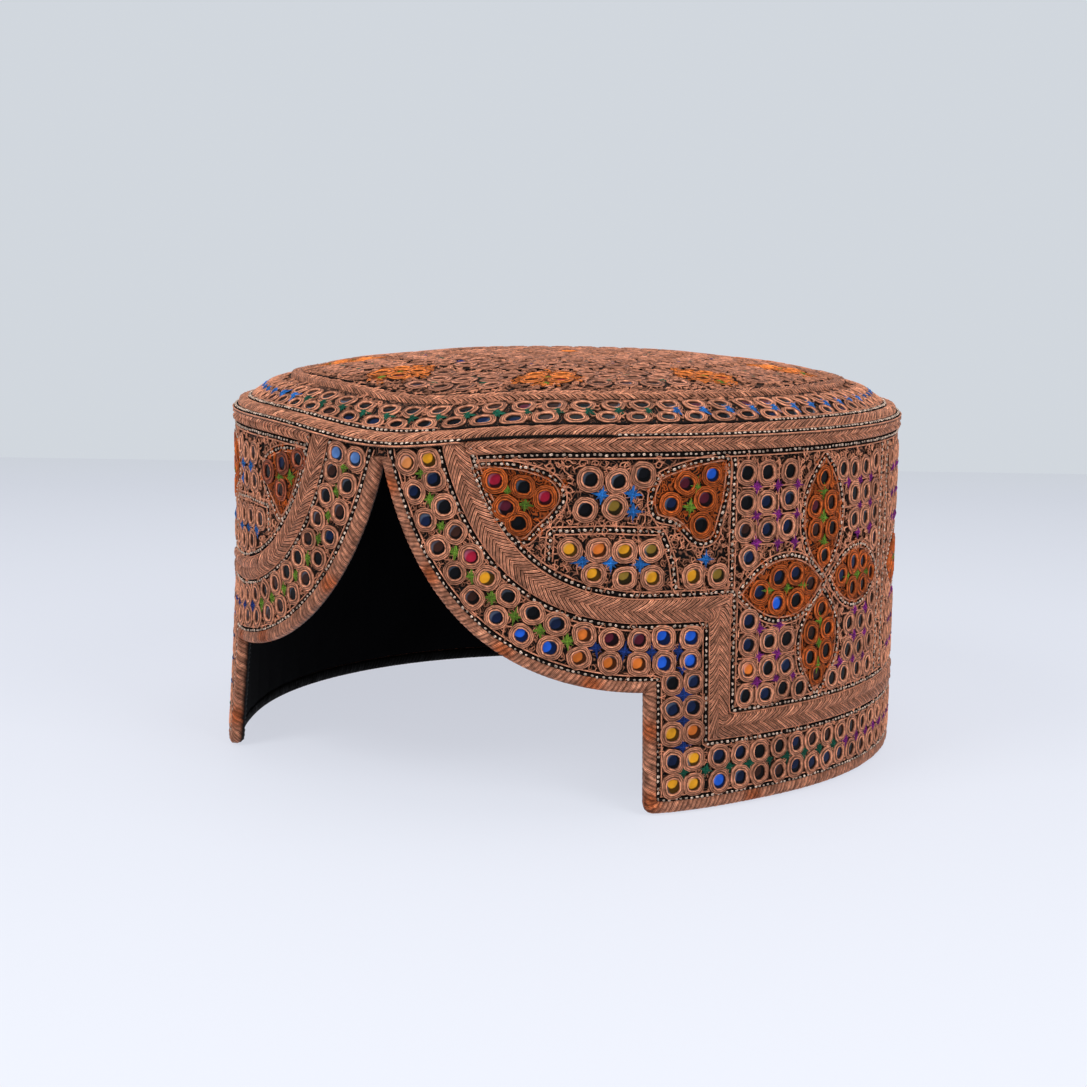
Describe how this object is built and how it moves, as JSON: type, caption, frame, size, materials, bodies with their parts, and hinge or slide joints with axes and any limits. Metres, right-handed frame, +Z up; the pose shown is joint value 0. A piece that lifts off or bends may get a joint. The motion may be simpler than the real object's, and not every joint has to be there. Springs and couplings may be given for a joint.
{
  "type": "sindhi cap",
  "caption": "Round stiff cloth cap with a low domed crown, embroidered and set with mirrors, its wall cut in front to an ogee arch with square steps",
  "frame": {"origin": "under the middle of the cap, level with the rim it rests on", "axes": "+Z up, the arched front opening faces -Y, +X is to the right of a viewer in front of it"},
  "size_m": [0.181, 0.1881, 0.1043],
  "materials": {
    "embroidered_cloth": "satin thread on black cloth",
    "lining_velvet": "matte velvet",
    "copper_braid": "satin",
    "mirror_work": "small mirrors in thread rings"
  },
  "bodies": {
    "root": {"side_band": "embroidered_cloth", "crown_top": "embroidered_cloth", "lining_band": "lining_velvet", "lining_crown": "lining_velvet", "edge_binding": "copper_braid", "shoulder_braid": "copper_braid", "shoulder_chevron_braid": "copper_braid", "border_braid": "copper_braid", "crown_braid": "copper_braid", "mirror_border_right": "mirror_work", "mirror_border_left": "mirror_work"}
  },
  "joints": []
}
